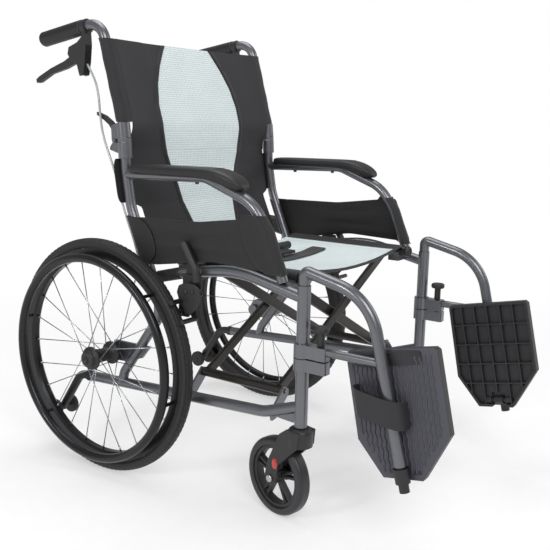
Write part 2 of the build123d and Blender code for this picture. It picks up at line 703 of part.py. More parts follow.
def cross_brace(layer, pins):
    """Pivot tube at the lower right, two bars, and the seat rail at the upper left."""
    thickness, width = brace_bar
    length = 2 * sqrt(pivot_x ** 2 + brace_rise ** 2)
    tube_low, tube_high = brace_front - brace_layer - 11, brace_rear + brace_layer + 11
    bore = brace_pin_radius + running_gap
    brace = rod((-pivot_x, tube_low, brace_pivot_height), (-pivot_x, tube_high, brace_pivot_height),
                brace_tube_radius)
    brace += rod((pivot_x, seat_front, seat_rail_height), (pivot_x, seat_back, seat_rail_height),
                 seat_rail_radius)
    for middle, outward in ((brace_front, -1), (brace_rear, 1)):
        y = middle + layer * outward * brace_layer
        bar = Box(length - 6, thickness, width)
        bar = fillet(bar.edges().filter_by(Axis.X), 3)
        brace += Pos(0, y, cross_height) * Rot(0, -brace_angle, 0) * bar
        if pins:
            start, end = y, middle - outward * (brace_layer + thickness / 2)
            brace += rod((0, start, cross_height), (0, end, cross_height), brace_pin_radius)
    brace -= rod((pivot_x, seat_front - 1, seat_rail_height), (pivot_x, seat_back + 1, seat_rail_height),
                 seat_rail_radius - tube_wall)
    brace -= rod((-pivot_x, tube_low - 1, brace_pivot_height), (-pivot_x, tube_high + 1,
                                                                brace_pivot_height), bore)
    if not pins:
        for middle in (brace_front, brace_rear):
            brace -= rod((0, middle - 20, cross_height), (0, middle + 20, cross_height), bore)
    return brace


def sag_line(lift, half, steps=12):
    """Points (x, z) across the seat on its sagging curve, lifted by some amount."""
    edge = seat_rail_height + seat_rail_radius + 2 * contact_gap
    points = []
    for index in range(steps + 1):
        x = -half + 2 * half * index / steps
        points.append((x, edge - seat_sag + seat_sag * (x / pivot_x) ** 2 + lift))
    return points


def sagging_slab(half, y_low, y_high, low, high):
    under = Spline(*sag_line(low, half))
    over = Spline(*sag_line(high, half))
    ends = [Line(under @ 0, over @ 0), Line(under @ 1, over @ 1)]
    face = make_face([under, over, *ends])
    return Pos(0, y_high, 0) * extrude(Plane.XZ * face, amount=y_high - y_low)


def seat_sling():
    return sagging_slab(pivot_x + 9, seat_front + 14, seat_back, 0.0, sling_thickness)


def lap_belt():
    low = sling_thickness + contact_gap
    band = sagging_slab(120, -305, -262, low, low + 4)
    y, z = -236, seat_rail_height + seat_rail_radius - seat_sag + sling_thickness + 15
    roll = rod((-60, y, z + 4), (60, y, z + 4), 11)
    return band + roll + Pos(0, -258, z - 4) * Box(60, 40, 6)


sling_half = frame_plane - sleeve_radius - contact_gap - 0.2


def back_sling_lower():
    high = hinge_height - 4
    route = [(-93, 486), (-58, 566), (-40, 640), (cane_at(lower_cane_route, high), high)]
    outline = [(y - 2, z) for y, z in route] + [(y + 2, z) for y, z in reversed(route)]
    wide = flat(-sling_half, sling_half, outline)
    for side in (-1, 1):
        wide -= Pos(side * sling_half, 0, 500) * Box(50, 400, 140)
    return wide


def back_sling_upper():
    low = hinge_height + 6
    route = [(cane_at(upper_cane_route, low), low), (-29.5, 748), (cane_at(upper_cane_route, back_top),
                                                                   back_top)]
    outline = [(y - 2, z) for y, z in route] + [(y + 2, z) for y, z in reversed(route)]
    return flat(-sling_half, sling_half, outline)


# ---- all nodes -----------------------------------------------------------------------------------
side_parts = {
    "frame": side_frame,
    "arm_pad": arm_pad,
    "skirt_guard": skirt_guard,
    "brake_body": brake_body,
    "brake_lever": brake_lever,
    "brake_shoe": brake_shoe,
    "tipper_tube": tipper_tube,
    "tip_wheels": tip_wheels,
    "back_hinge": back_hinge,
    "push_handle_tube": push_handle_tube,
    "release_lever": release_lever,
    "grip": grip,
    "handle_brake_body": handle_brake_body,
    "handle_brake_lever": handle_brake_lever,
    "brake_cable": brake_cable,
    "tyre": tyre,
    "wheel_rim": wheel_rim,
    "spoked_hub": spoked_hub,
    "handrim": handrim,
    "caster_fork": caster_fork,
    "caster_tyre": caster_tyre,
    "caster_wheel": caster_wheel,
    "hanger_tube": hanger_tube,
    "latch_knob": latch_knob,
    "footplate_post": footplate_post,
    "footplate": footplate,
    "heel_strap": heel_strap,
}

nodes = {
    "brace_a": cross_brace(1, pins=True),
    "brace_b": mirror(cross_brace(-1, pins=False), about=Plane.YZ),
    "seat_sling": seat_sling(),
    "lap_belt": lap_belt(),
    "back_sling_lower": back_sling_lower(),
    "back_sling_upper": back_sling_upper(),
}
for name, make in side_parts.items():
    left = make()
    nodes[f"left_{name}"] = left
    nodes[f"right_{name}"] = mirror(left, about=Plane.YZ)

foremost = min(shape.bounding_box().min.Y for shape in nodes.values())
rearmost = max(shape.bounding_box().max.Y for shape in nodes.values())
axle_y = -(foremost + rearmost) / 2

if __name__ == "__main__":
    os.makedirs("parts", exist_ok=True)
    for name, shape in nodes.items():
        export_step(Pos(0, axle_y, 0) * shape, f"parts/{name}.step")
    radii = bend_radii([Vector(*point) for point in cable_route], cable_bends)
    print("nodes", len(nodes), "rear axle y", round(axle_y, 3), "cable bends", [round(r) for r in radii])
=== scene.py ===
# %% [markdown]
# # A folding wheelchair, dressed for a studio picture
# The metal and plastic parts come ready made and ride on their own bodies. This lesson gives them
# real finishes and adds what sewing, moulding and rubber do: slings, guards, pads, tread and grips.

# %% Load the frame
import math
import bmesh
import bpy
from mathutils import Matrix, Vector


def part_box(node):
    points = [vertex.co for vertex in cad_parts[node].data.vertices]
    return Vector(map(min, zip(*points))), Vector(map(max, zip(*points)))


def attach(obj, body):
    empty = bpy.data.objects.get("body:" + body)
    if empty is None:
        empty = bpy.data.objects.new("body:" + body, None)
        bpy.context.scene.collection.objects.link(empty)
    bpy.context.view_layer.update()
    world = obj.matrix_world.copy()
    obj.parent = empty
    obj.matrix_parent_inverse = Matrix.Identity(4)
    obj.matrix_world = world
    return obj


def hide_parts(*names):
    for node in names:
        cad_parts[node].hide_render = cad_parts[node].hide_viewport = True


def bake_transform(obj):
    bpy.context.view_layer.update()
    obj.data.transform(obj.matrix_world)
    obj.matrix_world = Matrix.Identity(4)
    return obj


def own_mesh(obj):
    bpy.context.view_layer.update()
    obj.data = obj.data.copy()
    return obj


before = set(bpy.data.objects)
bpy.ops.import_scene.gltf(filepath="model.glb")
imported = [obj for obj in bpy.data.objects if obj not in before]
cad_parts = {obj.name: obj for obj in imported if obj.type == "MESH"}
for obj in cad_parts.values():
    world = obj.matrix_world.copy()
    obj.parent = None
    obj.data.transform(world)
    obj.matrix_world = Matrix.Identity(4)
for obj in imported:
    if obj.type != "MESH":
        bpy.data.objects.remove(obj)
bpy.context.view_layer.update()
SIDES = {"left": 1, "right": -1}
tyre_low, tyre_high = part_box("left_tyre")
axle_y = (tyre_low.y + tyre_high.y) / 2
wheel_x = (tyre_low.x + tyre_high.x) / 2 * 1000
AXLE_Z = 254.0
FRAME_X = 255.0
print("rear axle at", round(axle_y, 4), "wheel plane", round(wheel_x, 1))


def place(x, y, z):
    """A point in millimetres, y measured back from the rear axle, as metres in the shared frame."""
    return Vector((x / 1000, axle_y + y / 1000, z / 1000))


# %% [markdown]
# ## The camera
# The chair is seen from its right front, a little above the seat. A lens of about 53 mm keeps the
# far side only slightly smaller than the near side, as in a catalogue view.

# %% Camera
def make_camera(azimuth, elevation, roll):
    a, e, r = (math.radians(v) for v in (azimuth, elevation, roll))
    back = Vector((math.sin(a) * math.cos(e), -math.cos(a) * math.cos(e), math.sin(e)))
    right = (-back).cross(Vector((0, 0, 1))).normalized()
    up = back.cross(right)
    turned_right = right * math.cos(r) + up * math.sin(r)
    turned_up = up * math.cos(r) - right * math.sin(r)
    camera = bpy.data.objects.new("camera", bpy.data.cameras.new("camera"))
    bpy.context.scene.collection.objects.link(camera)
    rotation = Matrix((turned_right, turned_up, back)).transposed().to_4x4()
    camera.matrix_world = Matrix.Translation((-1.45935, -0.99848, 0.76073)) @ rotation
    camera.data.lens = 52.755
    camera.data.sensor_width = 36
    bpy.context.scene.camera = camera
    return camera


print("camera lens", make_camera(-55.133, 10.948, 1.146).data.lens)


# %% [markdown]
# ## Colours and nodes
# Paint charts and fabric cards give colours as sRGB hex. Blender works in linear light, so one
# function turns the hex over. A second small function adds any node with its settings and links.

# %% Colour and node helpers
def linear(hex_colour):
    parts = [int(hex_colour[i:i + 2], 16) / 255 for i in (1, 3, 5)]
    return [c / 12.92 if c <= 0.04045 else ((c + 0.055) / 1.055) ** 2.4 for c in parts] + [1.0]


def add(tree, kind, values=None, links=None, **settings):
    """One node: settings are its own, values fill its sockets, links feed them."""
    made = tree.nodes.new(kind)
    for name, value in settings.items():
        setattr(made, name, value)
    for socket, value in (values or {}).items():
        made.inputs[socket].default_value = value
    for socket, source in (links or {}).items():
        tree.links.new(source, made.inputs[socket])
    return made


def new_finish(name, **shader_values):
    """A material with a Principled shader, its even values set on the shader's own sockets."""
    finish = bpy.data.materials.new(name)
    finish.use_nodes = True
    tree = finish.node_tree
    shader = tree.nodes["Principled BSDF"]
    for key, value in shader_values.items():
        shader.inputs[key.replace("_", " ")].default_value = value
    return finish, tree, shader


def mottled(tree, shader, dark, light, coordinates, size_mm, bump_mm, rough):
    """Colour, roughness and bump from one noise whose features are size_mm across."""
    noise = add(tree, "ShaderNodeTexNoise", {"Scale": 1000 / size_mm, "Detail": 3.0},
                {"Vector": coordinates})
    colour = add(tree, "ShaderNodeMix", {"A": linear(dark), "B": linear(light)},
                 {"Factor": noise.outputs["Fac"]}, data_type="RGBA")
    gloss = add(tree, "ShaderNodeMapRange", {"To Min": rough[0], "To Max": rough[1]},
                {"Value": noise.outputs["Fac"]})
    bump = add(tree, "ShaderNodeBump", {"Distance": bump_mm / 1000, "Strength": 0.6},
               {"Height": noise.outputs["Fac"]})
    tree.links.new(colour.outputs["Result"], shader.inputs["Base Color"])
    tree.links.new(gloss.outputs["Result"], shader.inputs["Roughness"])
    tree.links.new(bump.outputs["Normal"], shader.inputs["Normal"])
    return noise


def surface_finish(name, dark, light, size_mm, bump_mm, rough, **shader_values):
    """A finish whose grain is even in space: paint, plating or moulded plastic."""
    finish, tree, shader = new_finish(name, **shader_values)
    spot = add(tree, "ShaderNodeTexCoord").outputs["Object"]
    mottled(tree, shader, dark, light, spot, size_mm, bump_mm, rough)
    return finish


# %% [markdown]
# ## Metal finishes
# The side frames are aluminium tube with a gunmetal metallic powder coat under a clear coat: grey,
# with bright streaks along each tube. The cross braces and brake shoes have a plain satin black powder
# coat, whose orange peel is about 2 mm wide. Spokes are zinc-plated steel wire.

# %% Metals
gunmetal = surface_finish("gunmetal_powder_coat", "#5c5d61", "#76777c", 1.6, 0.02, (0.26, 0.36),
                          Metallic=0.75, Coat_Weight=0.35, Coat_Roughness=0.12)
satin_black = surface_finish("satin_black_powder_coat", "#17130f", "#241d18", 2.0, 0.03, (0.32, 0.44),
                             Metallic=0.2, Coat_Weight=0.1, Coat_Roughness=0.25)
black_anodised = surface_finish("black_anodised_aluminium", "#151517", "#232427", 1.2, 0.01,
                                (0.28, 0.38), Metallic=0.6, Coat_Weight=0.2, Coat_Roughness=0.2)
zinc_steel = surface_finish("zinc_plated_steel", "#9c9ea2", "#c2c4c8", 1.0, 0.01, (0.2, 0.34),
                            Metallic=1.0)
print("metals", gunmetal.name, satin_black.name, black_anodised.name, zinc_steel.name)


# %% [markdown]
# ## Moulded plastic and rubber
# Brake housings, forks and knobs are glass-filled nylon from a spark-eroded mould, so a fine grain
# of about 0.8 mm scatters the light. Tyres are black rubber, casters grey-black polyurethane, and
# the arm pads are self-skinned foam with a leather-like pebble of about 1.5 mm.

# %% Plastics and rubbers
black_nylon = surface_finish("moulded_glass_filled_nylon", "#141416", "#202023", 0.8, 0.04,
                             (0.42, 0.56), IOR=1.53)
plate_grey = surface_finish("moulded_plate_plastic", "#3a3a42", "#4a4a53", 1.2, 0.05,
                            (0.42, 0.58), IOR=1.5)
# The same plate plastic drawn darker for the plate's body and underside: painted shade, not a second
# plastic.
plate_shaded_copy = surface_finish("moulded_plate_painted_shade", "#1b1b1e", "#28282b", 1.2, 0.05,
                             (0.42, 0.58), IOR=1.5)
tyre_rubber = surface_finish("vulcanised_tyre_rubber", "#101011", "#1b1b1c", 1.4, 0.06,
                             (0.5, 0.68), IOR=1.52)
caster_rubber = surface_finish("cast_polyurethane", "#1a1b1d", "#2a2b2e", 1.5, 0.04,
                               (0.34, 0.5), IOR=1.5)
pad_skin = surface_finish("self_skinned_foam", "#0b0b0c", "#161618", 1.5, 0.1, (0.4, 0.55), IOR=1.5)
sheath = surface_finish("clear_pvc_sheath", "#8d9193", "#b4b8ba", 3.0, 0.02, (0.2, 0.3),
                        IOR=1.53, Coat_Weight=0.3)
reflector_red = surface_finish("prismatic_red_reflector", "#8f1410", "#c92a20", 1.8, 0.25,
                               (0.12, 0.24), IOR=1.49, Coat_Weight=0.6)
print("plastics", len(bpy.data.materials))


# %% [markdown]
# ## Woven and knitted cloth
# The slings are plain-woven nylon, the guards too; threads are 0.5 mm apart, drawn at 1.6 mm so the
# weave shows. The seat and back centres are a spacer knit in a pale aqua white, with rows of small
# holes 3 mm apart, drawn at 5 mm. Each sheet carries its own flat coordinates in metres, called weave.

# %% Cloth finishes
def cloth_finish(name, dark, light, thread_mm, depth_mm, rough, holes=False, **shader_values):
    finish, tree, shader = new_finish(name, **shader_values)
    flat = add(tree, "ShaderNodeAttribute", attribute_name="weave").outputs["Vector"]
    if holes:
        cells = add(tree, "ShaderNodeTexVoronoi", {"Scale": 1000 / thread_mm, "Randomness": 0.12},
                    {"Vector": flat}, voronoi_dimensions="2D")
        height = add(tree, "ShaderNodeMapRange", {"From Min": 0.18, "From Max": 0.42},
                     {"Value": cells.outputs["Distance"]}).outputs["Result"]
    else:
        waves = [add(tree, "ShaderNodeTexWave", {"Scale": 1000 / thread_mm / 20 * math.pi},
                     {"Vector": flat}, bands_direction=way).outputs["Fac"] for way in ("X", "Y")]
        height = add(tree, "ShaderNodeMath", None, {0: waves[0], 1: waves[1]},
                     operation="MULTIPLY").outputs["Value"]
    blotch = add(tree, "ShaderNodeTexNoise", {"Scale": 14.0, "Detail": 4.0}, {"Vector": flat})
    # The colour follows the thread height: darker where the threads dip and inside the knit's holes,
    # painted shade in those hollows, mixed with a random blotch of tone.
    shade = add(tree, "ShaderNodeMix", {"Factor": 0.3},
                {"A": height, "B": blotch.outputs["Fac"]}, data_type="FLOAT")
    colour = add(tree, "ShaderNodeMix", {"A": linear(dark), "B": linear(light)},
                 {"Factor": shade.outputs["Result"]}, data_type="RGBA")
    gloss = add(tree, "ShaderNodeMapRange", {"To Min": rough[0], "To Max": rough[1]},
                {"Value": blotch.outputs["Fac"]})
    bump = add(tree, "ShaderNodeBump", {"Distance": depth_mm / 1000, "Strength": 0.7},
               {"Height": height})
    tree.links.new(colour.outputs["Result"], shader.inputs["Base Color"])
    tree.links.new(gloss.outputs["Result"], shader.inputs["Roughness"])
    tree.links.new(bump.outputs["Normal"], shader.inputs["Normal"])
    return finish


sling_nylon = cloth_finish("woven_sling_nylon", "#0f0d12", "#1c1a20", 1.6, 0.25, (0.6, 0.75),
                           Sheen_Weight=0.1, Sheen_Roughness=0.5)
guard_nylon = cloth_finish("woven_guard_nylon", "#0a090c", "#161518", 1.6, 0.25, (0.55, 0.7),
                           Sheen_Weight=0.06, Sheen_Roughness=0.5)
spacer_knit = cloth_finish("aqua_spacer_knit", "#a3b2b3", "#e3ecec", 5.0, 0.6, (0.6, 0.75),
                           holes=True, Sheen_Weight=0.2, Sheen_Roughness=0.5)
webbing = cloth_finish("polyester_webbing", "#17171a", "#29292d", 2.0, 0.35, (0.5, 0.65),
                       Sheen_Weight=0.15, Sheen_Roughness=0.4)
piping = cloth_finish("piping_tape", "#0d0d0f", "#1a1a1d", 1.4, 0.15, (0.45, 0.6),
                      Sheen_Weight=0.1, Sheen_Roughness=0.4)
print("cloths", sling_nylon.name, spacer_knit.name)


# %% [markdown]
# ## Finishes on the ready-made parts
# Each metal or plastic part keeps its mesh and only changes the material in its slots.

# %% Dress the ready-made parts
PART_FINISH = {
    gunmetal: ["frame", "push_handle_tube", "hanger_tube", "back_hinge"],
    satin_black: ["brace_a", "brace_b", "brake_shoe"],
    black_anodised: ["wheel_rim", "handrim"],
    black_nylon: ["brake_body", "brake_lever", "release_lever", "handle_brake_body",
                  "handle_brake_lever", "caster_fork", "caster_wheel", "latch_knob",
                  "footplate_post", "tipper_tube"],
    tyre_rubber: ["tip_wheels"],
    caster_rubber: ["caster_tyre"],
    # The footplate body takes the darker copy of the plate plastic, painted shade.
    plate_shaded_copy: ["footplate"],
}
for finish, names in PART_FINISH.items():
    for node_name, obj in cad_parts.items():
        if node_name in names or node_name.split("_", 1)[-1] in names:
            obj.data.materials.clear()
            obj.data.materials.append(finish)
print("dressed", len(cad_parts), "parts")


# %% [markdown]
# Moulded and cast parts never have knife edges. A weld and a small bevel modifier round them, and
# leave the ready-made mesh itself as it is.

# %% Round the moulded edges
ROUNDED = {"caster_fork": 3.0, "brake_body": 1.5, "brake_lever": 1.2, "handle_brake_body": 1.8,
           "handle_brake_lever": 1.6, "caster_wheel": 0.8, "latch_knob": 0.8, "release_lever": 0.6}
for node_name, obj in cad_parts.items():
    width = ROUNDED.get(node_name.split("_", 1)[-1])
    if width:
        obj.modifiers.new("weld", "WELD").merge_threshold = 1e-5
        edge = obj.modifiers.new("edge", "BEVEL")
        edge.width, edge.segments, edge.angle_limit = width / 1000, 3, math.radians(35)
        edge.harden_normals = True
print("rounded", len(ROUNDED), "kinds of part")


# %% [markdown]
# ## Mesh helpers
# Almost everything sewn or moulded here is one of four shapes: a sheet given by rows of points, a
# tube along points, a profile turned about an axis, and a bevelled plate. Sheets also store their
# flat lengths, which the cloth finishes read, so a weave keeps its real size round any curve.

# %% Sheets, tubes, turned pieces and plates
def new_piece(name, points, faces, finishes, smooth=True, face_finish=None):
    mesh = bpy.data.meshes.new(name)
    mesh.from_pydata([tuple(p) for p in points], [], faces)
    for finish in finishes:
        mesh.materials.append(finish)
    mesh.polygons.foreach_set("use_smooth", [smooth] * len(faces))
    if face_finish:
        mesh.polygons.foreach_set("material_index", face_finish)
    obj = bpy.data.objects.new(name, mesh)
    bpy.context.scene.collection.objects.link(obj)
    if not face_finish:
        shape = bmesh.new()
        shape.from_mesh(mesh)
        bmesh.ops.recalc_face_normals(shape, faces=shape.faces)
        shape.to_mesh(mesh)
        shape.free()
    return obj


def grid_faces(rows, columns, wrap=False):
    last = columns if wrap else columns - 1
    return [(r * columns + c, r * columns + (c + 1) % columns,
             (r + 1) * columns + (c + 1) % columns, (r + 1) * columns + c)
            for r in range(rows - 1) for c in range(last)]


def add_weave(obj, flat):
    layer = obj.data.attributes.new("weave", "FLOAT_VECTOR", "POINT")
    layer.data.foreach_set("vector", [v for point in flat for v in point])


def settle(obj):
    """Applies the modifiers and keeps cut edges crisp, so the mesh is final before it moves."""
    shape = bpy.data.meshes.new_from_object(obj.evaluated_get(bpy.context.evaluated_depsgraph_get()))
    obj.modifiers.clear()
    obj.data = shape
    shape.set_sharp_from_angle(angle=math.radians(50))


def sheet_piece(name, rows, finishes, thick_mm, column_finish=None, smoothing=1):
    """Cloth through rows of points, with its flat coordinates and a real thickness."""
    points = [p for row in rows for p in row]
    columns = len(rows[0])
    faces = grid_faces(len(rows), columns)
    face_finish = [column_finish[i % (columns - 1)] for i in range(len(faces))] if column_finish else None
    obj = new_piece(name, points, faces, finishes, True, face_finish)
    down = [0.0]
    for one, two in zip(rows, rows[1:]):
        down.append(down[-1] + (two[columns // 2] - one[columns // 2]).length)
    flat = []
    for row, v in zip(rows, down):
        lengths = [0.0]
        for one, two in zip(row, row[1:]):
            lengths.append(lengths[-1] + (two - one).length)
        middle = lengths[columns // 2]
        flat += [(u - middle, v, 0.0) for u in lengths]
    add_weave(obj, flat)
    if smoothing:
        obj.modifiers.new("smooth", "SUBSURF").render_levels = smoothing
        obj.modifiers["smooth"].levels = smoothing
    thick = obj.modifiers.new("thick", "SOLIDIFY")
    thick.thickness, thick.offset = thick_mm / 1000, 0.0
    settle(obj)
    return obj


def tube_piece(name, points, radius_mm, finish, around=10, closed=False, squeeze=1.0):
    """A round cord, bead or wire through points, capped at both ends."""
    rings, count = [], len(points)
    normal = None
    for i, p in enumerate(points):
        ahead = points[(i + 1) % count] if closed or i + 1 < count else p
        behind = points[i - 1] if closed or i else p
        along = (ahead - behind).normalized()
        if normal is None:
            normal = along.orthogonal().normalized()
        normal = (normal - along * normal.dot(along)).normalized()
        side = along.cross(normal)
        for k in range(around):
            t = 2 * math.pi * k / around
            rings.append(p + (normal * math.cos(t) + side * math.sin(t) * squeeze) * radius_mm / 1000)
    faces = grid_faces(count, around, wrap=True)
    if closed:
        faces += [((count - 1) * around + k, (count - 1) * around + (k + 1) % around,
                   (k + 1) % around, k) for k in range(around)]
    else:
        faces += [tuple(range(around)), tuple(range((count - 1) * around, count * around))]
    obj = new_piece(name, rings, faces, [finish])
    add_weave(obj, [(0.001 * (i // around) * 4, 0.002 * (i % around), 0) for i in range(len(rings))])
    return obj


def turned_piece(name, profile, centre, finish, steps=96):
    """A closed profile of (along, radius) in mm, turned about X through (y, z)."""
    y, z = centre
    points = [place(x, y + r * math.cos(2 * math.pi * i / steps), z + r * math.sin(2 * math.pi * i / steps))
              for i in range(steps) for x, r in profile]
    n = len(profile)
    faces = [(i * n + k, i * n + (k + 1) % n, ((i + 1) % steps) * n + (k + 1) % n,
              ((i + 1) % steps) * n + k) for i in range(steps) for k in range(n)]
    return new_piece(name, points, faces, [finish])


def plate_piece(name, outline, low, high, finish, bevel_mm=1.0, lift=None):
    """An outline of (y, z) in mm between two x values, with rounded edges."""
    lift = lift or (lambda u, v, x: place(x, u, v))
    n = len(outline)
    points = [lift(u, v, low) for u, v in outline] + [lift(u, v, high) for u, v in outline]
    faces = [tuple(range(n)), tuple(range(n, 2 * n))]
    faces += [(k, (k + 1) % n, n + (k + 1) % n, n + k) for k in range(n)]
    obj = new_piece(name, points, faces, [finish], smooth=False)
    edge = obj.modifiers.new("edge", "BEVEL")
    edge.width, edge.segments = bevel_mm / 1000, 3
    return obj


def blend_table(table, value):
    """Reads a table of (key, value) pairs with a smooth step between its entries."""
    for (a, va), (b, vb) in zip(table, table[1:]):
        if a <= value <= b:
            t = (value - a) / (b - a)
            t = t * t * (3 - 2 * t) if vb != va else t
            return va + (vb - va) * t
    return table[0][1] if value < table[0][0] else table[-1][1]


def along_table(table, value):
    """Reads a table of (key, value) pairs with straight lines between its entries."""
    for (a, va), (b, vb) in zip(table, table[1:]):
        if a <= value <= b:
            return va + (vb - va) * (value - a) / (b - a)
    return table[0][1] if value < table[0][0] else table[-1][1]


def steps_between(low, high, count):
    return [low + (high - low) * i / (count - 1) for i in range(count)]


# %% [markdown]
# ## Tyres
# The rear tyres are solid rubber with a low block tread. Turning a profile gives the body, and
# pushing every fifth ring of shoulder points inwards cuts the grooves between the blocks.

# %% Tyres with tread
TYRE_STEPS, GROOVE_EVERY = 480, 4


def tyre_piece(side, sign):
    seat = 233.3
    section = [(-11.5, seat), (-13.2, 237), (-14, 243), (-13, 247.5), (-10.5, 250.8), (-9.5, 250.2),
               (-7.6, 252.9), (-4.2, 253.8), (-3.4, 252.7), (-2.6, 254), (2.6, 254), (3.4, 252.7),
               (4.2, 253.8), (7.6, 252.9), (9.5, 250.2), (10.5, 250.8), (13, 247.5), (14, 243),
               (13.2, 237), (11.5, seat)]
    points = []
    for i in range(TYRE_STEPS):
        t = 2 * math.pi * i / TYRE_STEPS
        for x, r in section:
            shift = 1 if abs(x) > 9 else 0
            if 4 < abs(x) < 13.5 and r > 246 and (i + shift) % GROOVE_EVERY == 0:
                r -= 1.3
            points.append(place(sign * (wheel_x + x), r * math.cos(t), AXLE_Z + r * math.sin(t)))
    n = len(section)
    faces = [(i * n + k, i * n + (k + 1) % n, ((i + 1) % TYRE_STEPS) * n + (k + 1) % n,
              ((i + 1) % TYRE_STEPS) * n + k) for i in range(TYRE_STEPS) for k in range(n)]
    obj = new_piece(f"{side}_tyre_tread", points, faces, [tyre_rubber])
    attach(obj, f"{side}_wheel")
    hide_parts(f"{side}_tyre")


for side, sign in SIDES.items():
    tyre_piece(side, sign)
print("tyres", TYRE_STEPS // GROOVE_EVERY, "blocks round")


# %% [markdown]
# ## Hubs and spokes
# Steel wires leave the hub flanges at a slant and cross on the way to the rim, so that they can
# pull it round as well as carry it. Each ends in a small nipple. One mesh per wheel holds them.

# %% Hubs, spokes and nipples
SPOKES, FLANGE_X, FLANGE_R, RIM_IN = 24, 28.5, 20.0, 213.0


def merged(name, parts, body):
    """Joins small meshes of one finish into one piece that rides on a body."""
    bpy.ops.object.select_all(action="DESELECT")
    for part in parts:
        part.select_set(True)
    bpy.context.view_layer.objects.active = parts[0]
    bpy.ops.object.join()
    parts[0].name = name
    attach(parts[0], body)
    return parts[0]


def on_wheel(x, radius, angle):
    return place(x, radius * math.cos(angle), AXLE_Z + radius * math.sin(angle))


for side, sign in SIDES.items():
    wires = []
    for i in range(SPOKES):
        angle = 2 * math.pi * i / SPOKES
        flange = 1 if i % 2 else -1
        lean = 1 if i % 4 < 2 else -1
        foot = on_wheel(sign * (wheel_x + flange * FLANGE_X + lean * 2.2), FLANGE_R, angle + lean * 1.08)
        head = on_wheel(sign * wheel_x, RIM_IN, angle)
        collar = head + (foot - head).normalized() * 0.012
        wires.append(tube_piece("wire", [foot, collar], 1.05, zinc_steel, 8))
        wires.append(tube_piece("nipple", [collar, head], 1.9, zinc_steel, 8))
    merged(f"{side}_spokes", wires, f"{side}_wheel")
    hub_section = [(-33.5, 6.1), (-33.5, 13), (-32.5, 14), (-32, 23.5), (-30.5, 25), (-26.5, 25),
                   (-25, 23.5), (-24.5, 17), (-10, 14.5), (10, 14.5), (24.5, 17), (25, 23.5),
                   (26.5, 25), (30.5, 25), (32, 23.5), (32.4, 18.5), (38, 18.5), (41.5, 17),
                   (43, 14), (43.4, 9), (41, 8.2), (41, 0.4), (30, 0.4), (30, 6.1)]
    hub = turned_piece(f"{side}_hub_shell", [(sign * (wheel_x + x), r) for x, r in hub_section],
                       (0, AXLE_Z), black_nylon)
    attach(hub, f"{side}_wheel")
    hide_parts(f"{side}_spoked_hub")
print("spokes per wheel", SPOKES)


# %% [markdown]
# ## Arm pads
# Each pad is foam moulded with its own skin round a bracket. It is crowned on top and its nose turns
# down. Rounded sections along a bent path, then one smoothing step, give that shape; four grooves
# are pressed into the nose for the fingertips.

# %% Arm pads
PAD_PATH = [(-67.5, 655, 0, 3, 16), (-68, 655, 0, 8.5, 25), (-72, 655, 0, 10.5, 27.5),
            (-150, 655.7, 0, 10.7, 28), (-225, 656.4, 0, 10.8, 28), (-255, 656.4, 2, 11.2, 28),
            (-274, 655.4, 8, 12.2, 28), (-290, 653, 16, 13.2, 28), (-304, 649.3, 24, 13.6, 27.6),
            (-318, 644.6, 31, 13, 26.5), (-330, 639.6, 38, 11.4, 24), (-340, 634.6, 44, 8.6, 19.5),
            (-346, 630.9, 48, 5, 12), (-347.5, 629.8, 50, 1.5, 5)]


def pad_ring(node, sign, around=24):
    y, z, tilt, half_high, half_wide = node
    t = math.radians(tilt)
    ring = []
    for k in range(around):
        a = 2 * math.pi * k / around
        c, s = math.cos(a), math.sin(a)
        across = math.copysign(abs(c) ** 0.55, c) * half_wide
        up = math.copysign(abs(s) ** 0.6, s) * half_high
        ring.append(place(sign * (FRAME_X + across), y - up * math.sin(t), z + up * math.cos(t)))
    return ring


for side, sign in SIDES.items():
    rings = [p for node in PAD_PATH for p in pad_ring(node, sign)]
    caps = [tuple(range(24)), tuple(range(len(rings) - 24, len(rings)))]
    pad = new_piece(f"{side}_arm_cushion", rings, grid_faces(len(PAD_PATH), 24, True) + caps, [pad_skin])
    soft = pad.modifiers.new("soft", "SUBSURF")
    soft.levels = soft.render_levels = 2
    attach(pad, f"{side}_frame")
    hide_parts(f"{side}_arm_pad")
    grooves = []
    for y, z in ((-288, 665.6), (-299, 663.2), (-310, 659.6), (-321, 654.9)):
        route = [place(sign * (FRAME_X - 14 + u * 7), y + (u - 2) ** 2 * 0.5, z - (u - 2) ** 2 * 0.15)
                 for u in range(5)]
        grooves.append(tube_piece("groove", route, 1.6, piping, 8))
    merged(f"{side}_pad_grooves", grooves, f"{side}_frame")
print("pad sections", len(PAD_PATH))


# %% [markdown]
# ## Push grips
# The grips are soft vinyl sleeves with rings of shallow ridges. A profile that rises and falls every
# 6 mm, turned about the handle's line, gives them; the end is closed and domed.

# %% Push grips
HANDLE_CORNER, HANDLE_END = (27.7, 950.5), (203.0, 922.0)


def grip_piece(side, sign):
    start = place(sign * FRAME_X, *HANDLE_CORNER)
    along = (place(sign * FRAME_X, *HANDLE_END) - start).normalized()
    across, up = Vector((1, 0, 0)), along.cross(Vector((1, 0, 0)))
    profile = [(55, 11.2), (55.2, 14.5), (57, 16), (60, 16)]
    profile += [(62 + i * 3.0, 16.0 if i % 2 else 15.0) for i in range(37)]
    profile += [(175, 16.1), (179, 16), (182, 14.6), (183.6, 11), (184, 5), (184, 0.3)]
    points, around = [], 40
    for distance, radius in profile:
        for k in range(around):
            t = 2 * math.pi * k / around
            points.append(start + along * distance / 1000
                          + (across * math.cos(t) + up * math.sin(t)) * radius / 1000)
    obj = new_piece(f"{side}_grip_sleeve", points, grid_faces(len(profile), around, True), [pad_skin])
    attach(obj, f"{side}_upper_back")
    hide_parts(f"{side}_grip")


for side, sign in SIDES.items():
    grip_piece(side, sign)
print("grip ridges", 18)
